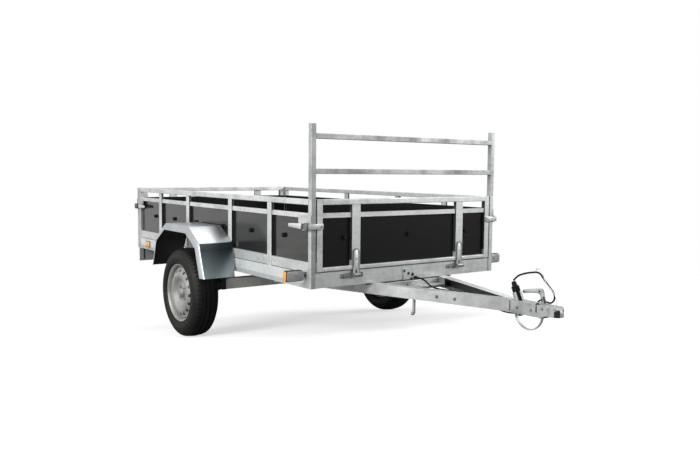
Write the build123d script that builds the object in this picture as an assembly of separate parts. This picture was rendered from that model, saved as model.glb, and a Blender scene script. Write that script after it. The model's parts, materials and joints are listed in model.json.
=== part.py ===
from build123d import *
from math import asin, atan2, degrees, hypot, pi, radians, tan
import os

# Single-axle box trailer with drop-down front and rear gates and a headboard frame.
# Millimetres. +X runs forward to the coupling, +Y to the left, +Z up.
# The trailer is drawn level with the wheel axis above X = 0, then set down nose first
# on the hoop under its coupling, as it stands when it is parked. What is drawn on the
# right side (-Y) or at the front is mirrored for the left side and the rear.

# Driving dimensions
wheel_radius = 285.0        # tyre tread to wheel centre
axle_height = 281.0         # wheel centres above the level that heights are measured from
tyre_width = 176.0
rim_radius = 182.0
box_width = 1364.0          # over the corner posts
wheel_offset = 135.0        # wheels' centre planes outside the box sides
front_x = 1217.0            # front face of the box, ahead of the axle
rear_x = -1278.0            # rear face of the box
chassis_bottom = 449.0
chassis_depth = 81.0
side_height = 389.0         # side rails' top above the chassis
headboard_height = 394.0    # headboard frame above the side rails
tube = 30.0                 # square tube of posts and rails
board = 12.0                # phenolic board
drawbar_length = 762.0      # box front to the coupling
coupling_length = 309.0
gap = 6.0                   # between a gate and the fixed frame
pin_fit = 0.05              # radial play of a pin in its eye

# Box
half = box_width / 2
inner = half - tube                     # inside face of the corner posts
box_length = front_x - rear_x
chassis_top = chassis_bottom + chassis_depth
rail_top = chassis_top + side_height
headboard_top = rail_top + headboard_height
tube_corner = 3.0                       # outside corner radius of the tubes
proud = tube - board                    # posts stand proud of the boards by this
board_face = half - proud               # outside face of the side boards
chassis_sheet = 4.0
front_post_foot = 47.0
rear_post_length = 60.0
bearer_width = 50.0
bearers = (-760.0, -330.0, 560.0)       # cross bearers under the floor
cross_face = front_x - gap              # front face of the front cross member
cross_depth = 45.0
sill_height = 57.0                      # folded edge at the foot of each side
strip_drop = 74.0                       # mid strip's top below the side rail's top
strip_height = 25.0
strip_top = rail_top - strip_drop
side_post_width = 46.0
side_posts = [rear_x + share * box_length for share in (0.185, 0.380, 0.632, 0.826)]
side_knobs = [rear_x + share * box_length for share in (0.136, 0.277, 0.422, 0.582, 0.731, 0.882)]
knob_z = chassis_top + 183.0
knob_radius = 14.0
knob_depth = 14.0
headboard_bars = (147.0, 330.0)         # bar centres above the side rails
headboard_bar = 28.0

# Gates
gate_edge = inner - gap
gate_bottom = chassis_top + gap
gate_back = front_x - tube              # inside face of the front gate
gate_board_face = gate_back + board
gate_side_tube = 38.0
gate_sill = 21.0                        # height of the bottom tube
gate_strip = 12.0
upright_y = 389.0
upright_width = 64.0
upright_taper = 4.0                     # each flank leans in by this
gate_knobs = (-455.0, 0.0, 455.0)

# Gate hinges and latches
pin_x = front_x + 13.0
pin_z = chassis_top - 23.0
pin_radius = 6.0
eye_radius = 10.0
strap_width = 40.0
strap_thick = 6.0
strap_top = chassis_top + 121.0
lug_thick = 5.0
lug_play = 2.0
bracket_plate = 4.0
bracket_low = 16.0                      # bracket plate below and above the pin
bracket_high = 14.0
bracket_wing = 70.0                     # bolted wing on one side of the strap
bracket_stub = 24.0                     # short wing on the other side
latch_z = strip_top - 68.0
latch_height = 30.0
latch_strap = 6.0
latch_pad = 34.0
latch_reach = 15.0                      # strap's inside face outside the posts
lever_neck = front_x - 75.0
cam_x = front_x - 21.0                  # round cam that the lever turns on
cam_radius = 21.0
cam_width = 16.0
lever_tip = front_x - 187.0
lever_tip_height = 20.0
catch_length = 118.0
catch_plate = 5.0
catch_z = (latch_z - 22.0, latch_z + 58.0)
catch_taper = 40.0                      # its lower rear corner is cut off by this

# Running gear
track_half = half + wheel_offset
bead_seat = rim_radius - 15.0
rim_well = rim_radius - 39.0
rim_skin = 4.0
flange_y = 72.0
bead_y = 66.0
vent_count = 16
vent_radius = 8.5
vent_circle = 139.0
vent_land = 63.0                        # outside face of the vented ring
disc_crest = 71.0                       # outside face of the raised ring within it
disc_thick = 5.0
disc_face = 44.0                        # outside face of the disc at the hub
disc_hole = 30.0
stub_radius = 15.0
stub_end = 39.0
axle_x = 150.0
axle_z = 340.0
axle_size = 66.0
mount_plate = 6.0
arm_thick = 28.0
arm_ends = ((150.0, 340.0, 38.0), (0.0, axle_height, 34.0))    # x, z, radius
guard_line = ((408.0, 138.0), (336.0, 341.0), (177.0, 436.0))     # x each way, height over the axis
guard_outer = track_half + 88.0
guard_play = 2.0                        # between the box side and the guard
guard_sheet = 2.5
guard_skirt = 42.0                      # depth of its folded outer edge
guard_lean = 14.0                       # the folded edge leans out by this
stay_x = 140.0
stay_width = 30.0
stay_thick = 4.0
stay_reach = 106.0

# Drawbar
coupling_x = front_x + drawbar_length
leg_height = 60.0
leg_width = 54.0                        # across the trailer
leg_slope = 0.32                        # sideways run for each mm of length
leg_tip = 40.0                          # half width over both tips
leg_sheet = 4.0                         # folded channels, open inwards
leg_bottom = chassis_bottom - leg_height
gusset_sheet = 5.0
gusset_length = 84.0
gusset_low = chassis_bottom - 39.0
gusset_high = chassis_bottom + 63.0
gusset_half = 47.0
hook_x = front_x + 243.0
hook_drop = 89.0
hook_foot = 34.0
hook_radius = 5.0
hook_bend = 18.0

# Coupling
coupling_top = chassis_bottom
coupling_bottom = leg_bottom - 1.0
coupling_half = 33.0
coupling_neck = 141.0                   # from its rear face to where it has narrowed
nose_x = coupling_x + coupling_length
head_radius = 38.0
ball_x = nose_x - head_radius
ball_bore = 25.05
ball_wall = 3.5
head_bottom = coupling_top - 47.0
socket_top = coupling_top - 12.0
window_width = 22.0                     # arched windows in the head, either side of its nose
window_turn = 46.0
window_top = socket_top - 2.0
seam_x = coupling_x + 184.0
seam_width = 5.0
seam_depth = 2.0
handle_width = 14.0
hoop_x = coupling_x + 115.0
hoop_z = coupling_bottom + 9.0
hoop_radius = 80.0
hoop_thick = 5.0
hoop_width = 16.0
hoop_low = hoop_radius + hoop_thick
plug_x = coupling_x + 54.0
plug_lean = 25.5                        # degrees back from upright
plug_radius = 20.0
plug_seat = 14.0                        # plug's foot and ends, along its axis
plug_shoulder = 70.0
plug_length = 95.0
plug_tip = 7.0
holder_wall = 5.0
holder_length = 39.0
holder_play = 0.1
holder_slot = 40.0                      # the holder is open to the right
cable_radius = 4.5
wire_radius = 1.5
gland_y = 40.0
gland_z = chassis_bottom + 9.0
gland_radius = 9.0
gland_length = 10.0

# Lamps and reflectors
lamp_board_x = rear_x + 28.0
lamp_board_low = chassis_bottom - 105.0
lamp_sheet = 4.0
lamp_flange = 40.0
lamp_slot = (half - 48.0, half - 32.0)
lamp_slot_edge = 12.0
lamp_y = (half - 240.0, half - 28.0)
lamp_depth = 40.0
lamp_edge = 6.0
plate_half = 260.0
plate_height = 110.0
plate_depth = 6.0
reflector_x = rear_x + 210.0
reflector_size = (95.0, 8.0, 46.0)
reflector_z = chassis_bottom + 42.0
marker_x = front_x - 57.0
marker_z = chassis_bottom + 70.0
marker_size = (40.0, 112.0, 58.0)
marker_corner = 16.0                    # inboard corners, and the outboard ones below
marker_end_corner = 6.0
marker_lens = 6.0
marker_lens_edge = 3.0

# Parking: the nose drops about the wheel axis until the hoop meets the ground
hoop_arm = hypot(hoop_x, hoop_z - axle_height)
park_angle = degrees(asin((wheel_radius - hoop_low) / hoop_arm)
                     + atan2(hoop_z - axle_height, hoop_x))

nodes = {}                              # node name -> shape, in the level frame
free_nodes = ("cable", "plug", "safety_wire")


def around(middle, width):
    """Limits of a width about its middle."""
    return middle - width / 2, middle + width / 2


def block(x, y, z):
    """Box between two limits on each axis."""
    size = [high - low for low, high in (x, y, z)]
    middle = [(high + low) / 2 for low, high in (x, y, z)]
    return Pos(*middle) * Box(*size)


def bar(x, y, z, along):
    """Square tube between limits, its long edges rounded."""
    shape = block(x, y, z)
    return fillet(shape.edges().filter_by(along), tube_corner)


def slab_xz(face, y):
    """Plate whose outline lies in X and Z, between two Y limits."""
    return Pos(0, y[1], 0) * extrude(Plane.XZ * face, y[1] - y[0])


def slab_xy(face, z):
    """Plate whose outline lies in X and Y, between two Z limits."""
    return Pos(0, 0, z[0]) * extrude(face, z[1] - z[0])


def slab_yz(face, x):
    """Plate whose outline lies in Y and Z, between two X limits."""
    return Pos(x[0], 0, 0) * extrude(Plane.YZ * face, x[1] - x[0])


def polygon(*points):
    return make_face(Polyline(*points, close=True))


def rod_x(y, z, radius, x):
    return Pos((x[0] + x[1]) / 2, y, z) * Rot(0, 90, 0) * Cylinder(radius, x[1] - x[0])


def rod_y(x, z, radius, y):
    return Pos(x, (y[0] + y[1]) / 2, z) * Rot(90, 0, 0) * Cylinder(radius, y[1] - y[0])


def mirror_y(shape):
    return mirror(shape, Plane.XZ)


def mirror_end(shape):
    """The rear end's copy of a front-end piece."""
    return Pos(front_x + rear_x, 0, 0) * mirror(shape, Plane.YZ)


def both_sides(shape):
    """A right-hand piece and its left-hand copy in one node."""
    return Compound(shape.solids() + mirror_y(shape).solids())


def add_sides(name, shape):
    """A right-hand piece and its left-hand copy as two nodes."""
    nodes[name + "_right"] = shape
    nodes[name + "_left"] = mirror_y(shape)


def chassis():
    depth = (chassis_bottom, chassis_top)
    inside = (chassis_bottom + chassis_sheet, chassis_top - chassis_sheet)
    rail = block((rear_x + rear_post_length, front_x - front_post_foot), (-half, -inner), depth)
    rail -= block((rear_x, front_x), (-half + chassis_sheet, 0), inside)
    add_sides("chassis_rail", rail)
    cross = block((cross_face - cross_depth, cross_face), (-inner, inner), depth)
    cross -= block((0, cross_face - chassis_sheet), (-half, half), inside)
    nodes["front_cross_member"] = cross
    nodes["rear_cross_member"] = mirror_end(cross)
    channels = []
    for x in bearers:
        channel = block(around(x, bearer_width), (-inner, inner), depth)
        channel -= block((x - bearer_width / 2 + chassis_sheet, x + bearer_width), (-half, half), inside)
        channels.append(channel)
    nodes["floor_bearers"] = Compound(channels)
    ends = (rear_x + tube + gap, front_x - tube - gap)
    nodes["load_floor"] = block(ends, (-inner, inner), (chassis_top, chassis_top + board))


def sides():
    run = (rear_x + rear_post_length, front_x - tube)
    folded = (-half + gap, -board_face)
    frame = bar(run, (-half, -inner), (rail_top - tube, rail_top), Axis.X)
    frame += block(run, folded, (chassis_top, chassis_top + sill_height))
    frame += block(run, folded, (strip_top - strip_height, strip_top))
    for x in side_posts:
        frame += bar(around(x, side_post_width), (-half, -board_face), (chassis_top, rail_top - tube), Axis.Z)
    add_sides("side_frame", frame)
    add_sides("side_panel", block(run, (-board_face, -inner), (chassis_top, strip_top)))
    knobs = [rod_y(x, knob_z, knob_radius, (-board_face - knob_depth, -board_face)) for x in side_knobs]
    nodes["side_net_knobs"] = both_sides(Compound(knobs))


def corners():
    full = (chassis_bottom, rail_top)
    post = bar((front_x - tube, front_x), (-half, -inner), full, Axis.Z)
    post += block((front_x - front_post_foot, front_x - tube_corner), (-half, -inner), (chassis_bottom, chassis_top))
    add_sides("corner_post_front", post)
    add_sides("corner_post_rear", bar((rear_x, rear_x + rear_post_length), (-half, -inner), full, Axis.Z))
    x = (front_x - tube, front_x)
    post = bar(x, (-half, -inner), (rail_top, headboard_top), Axis.Z)
    frame = post + mirror_y(post)
    for height in headboard_bars:
        frame += bar(x, (-inner, inner), around(rail_top + height, headboard_bar), Axis.Y)
    nodes["headboard_frame"] = frame


def gate():
    x = (gate_back, front_x)
    window = gate_edge - gate_side_tube
    stile = bar(x, (-gate_edge, -window), (gate_bottom, rail_top), Axis.Z)
    frame = stile + mirror_y(stile)
    frame += bar(x, (-window, window), (gate_bottom, gate_bottom + gate_sill), Axis.Y)
    frame += bar(x, (-window, window), (rail_top - tube, rail_top), Axis.Y)
    frame += block((gate_board_face, gate_board_face + gate_strip), (-window, window),
                   (strip_top - strip_height, strip_top))
    foot = upright_width / 2
    section = polygon((gate_board_face, -foot), (front_x, upright_taper - foot),
                      (front_x, foot - upright_taper), (gate_board_face, foot))
    for y in (-upright_y, upright_y):
        frame += Pos(0, y, 0) * slab_xy(section, (gate_bottom + gate_sill, rail_top - tube))
    panel = block((gate_back, gate_board_face), (-window, window), (gate_bottom + gate_sill, strip_top))
    knobs = [rod_x(y, knob_z, knob_radius, (gate_board_face, gate_board_face + knob_depth)) for y in gate_knobs]
    return frame, panel, Compound(knobs)


def hinges():
    straps = []
    brackets = []
    for y in (-upright_y, upright_y):
        low, high = around(y, strap_width)
        radius = strap_width / 2
        strap = block((front_x, front_x + strap_thick), (low, high), (pin_z, strap_top - radius))
        strap += rod_x(y, strap_top - radius, radius, (front_x, front_x + strap_thick))
        strap += rod_y(pin_x, pin_z, eye_radius, (low, high))
        strap -= rod_y(pin_x, pin_z, pin_radius + pin_fit, (low - 1, high + 1))
        straps.append(strap)
        outside = (low - lug_play - lug_thick, high + lug_play + lug_thick)
        bracket = rod_y(pin_x, pin_z, pin_radius, outside)
        for edge, reach in ((outside[0], -bracket_wing), (outside[1], bracket_stub)):
            lug = (edge, edge + lug_thick) if reach < 0 else (edge - lug_thick, edge)
            bracket += block((cross_face, pin_x), lug, around(pin_z, 2 * eye_radius))
            bracket += rod_y(pin_x, pin_z, eye_radius, lug)
            root = lug[1] if reach < 0 else lug[0]
            wing = polygon((root, pin_z - bracket_low), (root, pin_z + bracket_high),
                           (edge + reach, pin_z + bracket_high / 2), (edge + reach, pin_z - bracket_low))
            bracket += slab_yz(wing, (cross_face, cross_face + bracket_plate))
        brackets.append(bracket)
    return Compound(straps), Compound(brackets)


def latch():
    wrap = (-half - latch_reach - latch_strap, -half - latch_reach)
    face = front_x + gap
    height = around(latch_z, latch_height)
    pad = (-gate_edge, -gate_edge + latch_pad)
    shape = block((front_x, face), pad, height)
    shape += block((face, face + latch_strap), (wrap[0], pad[1]), height)
    tip = around(latch_z, lever_tip_height)
    lever = polygon((face, height[0]), (face, height[1]), (lever_neck, height[1]),
                    (lever_tip, tip[1]), (lever_tip, tip[0]), (lever_neck, height[0]))
    shape += slab_xz(lever, wrap)
    shape += rod_y(lever_tip, latch_z, lever_tip_height / 2, wrap)
    shape += rod_y(cam_x, latch_z, cam_radius, around(sum(wrap) / 2, cam_width))
    return both_sides(shape)


def catch():
    """Plate on the post, packed out to the mid strip behind it, its lower rear corner cut."""
    back = front_x - catch_length
    low, high = catch_z
    outline = polygon((back, high), (front_x, high), (front_x, low), (back + catch_taper, low), (back, low + catch_taper))
    shape = slab_xz(outline, (-half - catch_plate, -half))
    shape += block((back, front_x - rear_post_length), (-half, -half + gap), (low + catch_taper, high))
    return both_sides(shape)


def gates():
    frame, panel, knobs = gate()
    straps, brackets = hinges()
    pieces = {"gate_frame": frame, "gate_panel": panel, "gate_knobs": knobs,
              "gate_hinge_straps": straps, "gate_latches": latch()}
    for name, shape in pieces.items():
        nodes["front_" + name] = shape
        nodes["rear_" + name] = mirror_end(shape)
    for name, shape in {"hinge_brackets": brackets, "latch_catches": catch()}.items():
        nodes[name] = Compound(shape.solids() + mirror_end(shape).solids())


def tyre():
    """Tyre about the Y axis through the origin."""
    w = tyre_width / 2
    shoulder = (wheel_radius - 36, 9 - w)
    crown = (wheel_radius - 4, 48 - w)
    lip = (rim_radius + 8, 8.5 - w)
    flank = [Line((bead_seat, 0), (bead_seat, -bead_y)),
             Line((bead_seat, -bead_y), (rim_radius, -bead_y)),
             Line((rim_radius, -bead_y), lip),
             ThreePointArc(lip, (rim_radius + 45, -w), shoulder),
             Line(shoulder, (wheel_radius - 13, 24 - w)),
             Line((wheel_radius - 13, 24 - w), crown),
             Line(crown, (wheel_radius, 0))]
    outline = flank + [mirror(edge, Plane.XZ) for edge in flank]
    return revolve(make_face(outline), Axis.Y)


def rim():
    """Pressed rim and vented disc about the Y axis, outside towards -Y."""
    inside = bead_seat - rim_skin
    well = rim_well - rim_skin
    barrel = polygon((rim_radius, -flange_y), (rim_radius, -bead_y), (bead_seat, -bead_y), (bead_seat, -45),
                     (rim_well, -26), (rim_well, 14), (bead_seat, 40), (bead_seat, bead_y),
                     (rim_radius, bead_y), (rim_radius, flange_y), (inside, flange_y), (inside, 44),
                     (well, 18), (well, -30), (inside, -49), (inside, -flange_y))
    front = [(disc_hole, -disc_face), (72, -disc_face), (94, 2 - disc_crest), (111, -disc_crest),
             (121, -vent_land), (inside + 1, -vent_land)]
    back = [(radius, y + disc_thick) for radius, y in reversed(front)]
    shape = revolve(barrel, Axis.Y) + revolve(polygon(*front, *back), Axis.Y)
    for i in range(vent_count):
        hole = rod_y(vent_circle, 0, vent_radius, (-vent_land - 1, disc_thick + 1 - vent_land))
        shape -= Rot(0, i * 360 / vent_count, 0) * hole
    return shape


def hub():
    """Hub flange and grease cap about the Y axis, bored for the stub."""
    bore = stub_radius + pin_fit
    back = disc_thick - disc_face
    cap = disc_hole - 0.5
    section = polygon((bore, 35), (bore, -stub_end - 1), (0, -stub_end - 1), (0, -62), (22, -62), (cap, -50),
                      (cap, back), (66, back), (66, back + 12), (38, back + 12), (38, 35))
    return revolve(section, Axis.Y)


def running_gear():
    place = Pos(0, -track_half, axle_height)
    for name, shape in {"tyre": tyre(), "rim": rim(), "hub": hub()}.items():
        add_sides(name, place * shape)
    beam_z = around(axle_z, axle_size)
    nodes["axle_beam"] = bar(around(axle_x, axle_size), (-half, half), beam_z, Axis.Y)
    plates = []
    for side in (-1, 1):
        middle = axle_x + side * (axle_size + mount_plate) / 2
        plates.append(block(around(middle, mount_plate), (-half, -inner), (beam_z[0], chassis_bottom)))
    nodes["axle_mounts"] = both_sides(Compound(plates))
    ends = [(Pos(x, z) * Circle(radius)).edge() for x, z, radius in arm_ends]
    arm = slab_xz(make_hull(ends), (-half - arm_thick, -half))
    arm += rod_y(0, axle_height, stub_radius, (-track_half - stub_end, -half - arm_thick))
    add_sides("axle_arm", arm)


def guard_form(y, inset, drop=0.0):
    """Side outline of the space under the guard at this Y, inset from its folds, its feet lowered."""
    (foot_x, foot), (knee_x, knee), _ = guard_line
    low = foot - drop - inset
    end = (foot_x + (foot - low) * (foot_x - knee_x) / (knee - foot), low)
    side = [end, *guard_line[1:]]
    form = polygon(*side, *[(-x, z) for x, z in reversed(side)])
    if inset:
        form = offset(form, -inset, kind=Kind.INTERSECTION)
    return Pos(0, y, axle_height) * (Plane.XZ * form)


def mudguards():
    inside = -half - guard_play
    lip = -guard_outer - guard_lean
    outside = [guard_form(inside, 0), guard_form(-guard_outer, 0), guard_form(lip, guard_skirt + guard_sheet)]
    hollow = [guard_form(inside + 1, guard_sheet, 1), guard_form(guard_sheet - guard_outer, guard_sheet, 1),
              guard_form(lip + guard_sheet, guard_skirt, 1), guard_form(lip - 1, guard_skirt, 1)]
    add_sides("mudguard", loft(outside, ruled=True) - loft(hollow, ruled=True))
    under = axle_height + guard_line[2][1] - guard_sheet
    stays = []
    for x in (-stay_x, stay_x):
        width = around(x, stay_width)
        stay = block(width, (inside, -half + gap), (chassis_top + 15, under))
        stay += block(width, (inside - stay_reach, inside), (under - stay_thick, under))
        stays.append(stay)
    nodes["mudguard_stays"] = both_sides(Compound(stays))


def leg_outer(x):
    """Outside of the drawbar leg, from the middle, at this X."""
    return leg_tip + leg_slope * (coupling_x - x)


def leg_inner(x):
    return leg_outer(x) - leg_width


def drawbar():
    back = bearers[-1] - bearer_width / 2
    apex = coupling_x - (leg_width - leg_tip) / leg_slope
    outline = polygon((coupling_x, -leg_tip), (back, -leg_outer(back)), (back, -leg_inner(back)),
                      (apex, 0), (coupling_x, 0))
    leg = slab_xy(outline, (leg_bottom, chassis_bottom))
    trough = polygon((coupling_x + 1, leg_sheet - leg_tip), (back - 1, leg_sheet - leg_outer(back)),
                     (back - 1, 0), (coupling_x + 1, 0))
    leg -= slab_xy(trough, (leg_bottom + leg_sheet, chassis_bottom - leg_sheet))
    add_sides("drawbar_leg", leg)
    front = cross_face + gusset_length
    plan = [(cross_face, -leg_inner(cross_face)), (front, -leg_inner(front))]
    web = polygon(*plan, *[(x, -y) for x, y in reversed(plan)])
    gusset = slab_xy(web, (gusset_low, gusset_low + gusset_sheet))
    cheek = polygon(*plan, *[(x, y + gusset_sheet) for x, y in reversed(plan)])
    cheek = slab_xy(cheek, (leg_bottom, chassis_bottom))
    gusset += cheek + mirror_y(cheek)
    gusset += block((cross_face, cross_face + gusset_sheet), (-gusset_half, gusset_half), (gusset_low, gusset_high))
    nodes["drawbar_gusset"] = gusset
    y = leg_width / 2 - leg_outer(hook_x)
    low = leg_bottom - hook_drop
    route = FilletPolyline((hook_x, y, leg_bottom), (hook_x, y, low), (hook_x, y + hook_foot, low), radius=hook_bend)
    nodes["hook_rod"] = sweep(Plane(origin=route @ 0, z_dir=route % 0) * Circle(hook_radius), path=route)


def coupling_body():
    """Coupling as its side outline crossed with its plan outline, then cut."""
    shoulder = ball_x - 30
    brow_start = (nose_x - 34, coupling_top)
    brow_end = (nose_x, head_bottom + 16)
    tail = [Line(brow_start, (coupling_x, coupling_top)),
            Line((coupling_x, coupling_top), (coupling_x, coupling_bottom)),
            Line((coupling_x, coupling_bottom), (hoop_x + hoop_low + 6, coupling_bottom)),
            Line((hoop_x + hoop_low + 6, coupling_bottom), (shoulder, head_bottom)),
            Line((shoulder, head_bottom), (nose_x, head_bottom)),
            Line((nose_x, head_bottom), brow_end)]
    brow = ThreePointArc(brow_end, (nose_x - 9, coupling_top - 10), brow_start)
    side = slab_xz(make_face(tail + [brow]), (-leg_tip, leg_tip))
    neck = coupling_x + coupling_neck
    plan = polygon((coupling_x, -leg_tip), (neck, -coupling_half), (ball_x, -coupling_half),
                   (ball_x, coupling_half), (neck, coupling_half), (coupling_x, leg_tip))
    plan += Pos(ball_x, 0) * Circle(head_radius)
    height = (coupling_bottom, coupling_top)
    body = side & slab_xy(plan, height)
    at_ball = Pos(ball_x, 0)
    body -= at_ball * slab_xy(Circle(ball_bore), (coupling_bottom, socket_top))
    middle = window_top - window_width / 2
    arch = slab_yz(Pos(0, middle) * Circle(window_width / 2), (ball_bore + ball_wall, head_radius + 5))
    arch += block((ball_bore + ball_wall, head_radius + 5), around(0, window_width), (coupling_bottom, middle))
    for side in (-1, 1):
        body -= at_ball * Rot(0, 0, side * window_turn) * arch
        seam = around(side * coupling_half, 2 * seam_depth)
        body -= block(around(seam_x, seam_width), seam, (coupling_bottom + 23, coupling_top + 1))
    return body


def coupling_handle():
    """Grip that rises forward from its free end to the stem, arched beneath."""
    x = coupling_x + 81
    z = coupling_top
    stem = coupling_x + 191
    front = stem + 36
    top = Spline((x, z + 57), (x + 28, z + 64), (x + 76, z + 72), (x + 122, z + 79), (x + 131, z + 66))
    under = ThreePointArc((stem - 3, z + 30), (stem - 20, z + 45), (stem - 44, z + 47))
    rear = ThreePointArc(under @ 1, (stem - 72, z + 45), (x, z + 41))
    outline = [top, Line(top @ 1, (front, z)), Line((front, z), (stem, z)), Line((stem, z), under @ 0), under, rear,
               Line(rear @ 1, top @ 0)]
    return slab_xz(make_face(outline), around(0, handle_width))


def plug_and_holder():
    seat = Pos(plug_x, 0, coupling_top) * Rot(0, -plug_lean, 0)
    holder = seat * slab_xy(Circle(plug_radius + holder_wall), (-plug_seat, holder_length))
    holder -= seat * slab_xy(Circle(plug_radius + holder_play), (plug_seat, holder_length))
    holder -= seat * block(around(0, holder_slot), (-2 * plug_radius, 0), (plug_seat, holder_length))
    holder -= block(around(plug_x, 200), (-100, 100), (coupling_bottom, coupling_top))
    nodes["plug_holder"] = holder
    tip = plug_length - plug_shoulder
    plug = slab_xy(Circle(plug_radius), (plug_seat, plug_shoulder))
    plug += Pos(0, 0, plug_shoulder + tip / 2) * Cone(plug_radius, plug_tip, tip)
    nodes["plug"] = seat * plug


def coupling():
    nodes["coupling_body"] = coupling_body()
    nodes["coupling_handle"] = coupling_handle()
    ring = slab_xz(Pos(hoop_x, hoop_z) * (Circle(hoop_low) - Circle(hoop_radius)), around(0, hoop_width))
    ring -= block(around(hoop_x, 3 * hoop_low), around(0, 2 * hoop_width), (coupling_bottom, hoop_z + 2 * hoop_low))
    nodes["support_hoop"] = ring
    plug_and_holder()


def lamps():
    top = chassis_bottom
    x = lamp_board_x
    sheet = block((x, x + lamp_sheet), (-half, half), (lamp_board_low, top))
    sheet += block((x, x + lamp_flange), (-half, half), (top - lamp_sheet, top))
    slot = block((x - 1, x + lamp_sheet + 1), (-lamp_slot[1], -lamp_slot[0]),
                 (lamp_board_low + lamp_slot_edge, top - lamp_slot_edge))
    nodes["lamp_board"] = sheet - slot - mirror_y(slot)
    lamp = block((x - lamp_depth, x), (-lamp_y[1], -lamp_y[0]), (lamp_board_low + lamp_edge, top - lamp_edge))
    nodes["rear_lamps"] = both_sides(lamp)
    nodes["number_plate"] = block((x - plate_depth, x), around(0, 2 * plate_half),
                                  (lamp_board_low - lamp_edge, lamp_board_low - lamp_edge + plate_height))
    length, depth, height = reflector_size
    reflector = block(around(reflector_x, length), (-half - depth, -half), around(reflector_z, height))
    nodes["side_reflectors"] = both_sides(reflector)
    width, reach, height = marker_size
    arm = block(around(marker_x, width), (-half - reach, -half), around(marker_z, height))
    corners = arm.edges().filter_by(Axis.X).sort_by(Axis.Y)
    arm = fillet(corners[2:], marker_corner)
    arm = fillet(arm.edges().filter_by(Axis.X).sort_by(Axis.Y)[:2], marker_end_corner)
    nodes["marker_arms"] = both_sides(arm)
    lens = block(around(marker_x, width - 2 * marker_lens_edge), (-half - reach - marker_lens, -half - reach),
                 around(marker_z, height - 2 * marker_end_corner))
    lens = fillet(lens.edges().filter_by(Axis.Y), marker_lens_edge)
    nodes["marker_lenses"] = both_sides(lens)


def cord(points, radius):
    """Round cord through straight runs joined by arcs as large as the runs allow."""
    points = [Vector(*point) for point in points]
    radii = []
    for before, corner, after in zip(points, points[1:], points[2:]):
        half_turn = radians((corner - before).get_angle(after - corner)) / 2
        radii.append(0.45 * min((corner - before).length, (after - corner).length) / tan(half_turn))
    route = FilletPolyline(*points, radius=radii)
    ring = Plane(origin=route @ 0, z_dir=route % 0) * Circle(radius)
    tube = sweep(ring, path=route)
    print("cord length", round(route.length), "bends", [round(r) for r in radii], "volume ratio",
          round(tube.volume / (pi * radius**2 * route.length), 3))
    return tube


def cords():
    start = cross_face + gusset_sheet + gland_length
    cable = [(1991, 1, 540), (2006, 8, 562), (2040, 14, 578), (2089, 18, 590), (2135, 20, 596), (2165, 19, 562),
             (2196, 18, 533), (2222, 20, 511), (2229, 21, 480), (2208, 22, 455), (2175, 26, 457), (2142, 37, 464),
             (2106, 50, 448), (2076, 56, 415), (2038, 52, 386), (1994, 36, 372), (1940, 12, 371), (1882, 0, 384),
             (1830, -4, 412), (1760, -8, 432), (1660, -22, 438), (1560, -34, 434), (1460, -26, 430),
             (1370, 8, 436), (1300, 38, 456), (start, gland_y, gland_z)]
    nodes["cable"] = cord(cable, cable_radius)
    wire = [(2252, 0, coupling_top), (2254, 2, 470), (2247, 4, 492), (2228, 4, 520), (2198, 2, 540), (2180, 0, 565),
            (2174, -1, 592), (2150, -2, 618), (2131, -1, 614), (2126, 3, 600)]
    nodes["safety_wire"] = cord(wire, wire_radius)
    nodes["cable_gland"] = rod_x(gland_y, gland_z, gland_radius, (cross_face + gusset_sheet, start))


def park():
    """Set every node down on the hoop and centre the trailer on X = 0."""
    settle = Pos(0, 0, wheel_radius) * Rot(0, park_angle, 0) * Pos(0, 0, -axle_height)
    placed = {name: settle * shape for name, shape in nodes.items()}
    bounds = Compound([shape for name, shape in placed.items() if name not in free_nodes]).bounding_box()
    shift = -(bounds.min.X + bounds.max.X) / 2
    print("park angle", round(park_angle, 4), "shift", round(shift, 3))
    print("size", bounds.size, "low", round(bounds.min.Z, 3))
    return {name: Pos(shift, 0, 0) * shape for name, shape in placed.items()}


chassis()
sides()
corners()
gates()
running_gear()
mudguards()
drawbar()
coupling()
lamps()
cords()
os.makedirs("parts", exist_ok=True)
for name, shape in park().items():
    export_step(shape, f"parts/{name}.step")
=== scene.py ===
import json
import math

import bmesh
import bpy
from mathutils import Matrix, Vector


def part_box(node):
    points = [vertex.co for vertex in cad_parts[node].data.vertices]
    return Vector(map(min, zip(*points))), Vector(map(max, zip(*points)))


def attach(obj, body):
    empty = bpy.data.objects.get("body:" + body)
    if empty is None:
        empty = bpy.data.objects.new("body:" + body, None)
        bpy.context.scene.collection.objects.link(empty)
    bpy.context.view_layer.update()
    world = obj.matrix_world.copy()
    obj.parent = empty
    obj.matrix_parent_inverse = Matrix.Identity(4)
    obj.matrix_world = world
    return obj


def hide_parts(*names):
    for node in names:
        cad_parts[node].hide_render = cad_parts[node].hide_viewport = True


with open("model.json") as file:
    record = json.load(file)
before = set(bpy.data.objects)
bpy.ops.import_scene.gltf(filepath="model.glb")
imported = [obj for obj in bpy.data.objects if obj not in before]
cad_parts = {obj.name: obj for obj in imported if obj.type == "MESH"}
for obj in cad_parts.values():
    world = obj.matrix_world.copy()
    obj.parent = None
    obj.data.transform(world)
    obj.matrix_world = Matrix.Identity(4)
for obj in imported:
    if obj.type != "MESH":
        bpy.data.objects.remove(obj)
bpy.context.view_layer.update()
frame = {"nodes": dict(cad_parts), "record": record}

cad = frame["nodes"]
scene = bpy.context.scene


def shift(x, y, z):
    return Matrix.Translation((x, y, z))


def turned(angle, axis):  # a turn in degrees
    return Matrix.Rotation(math.radians(angle), 4, axis)


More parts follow.
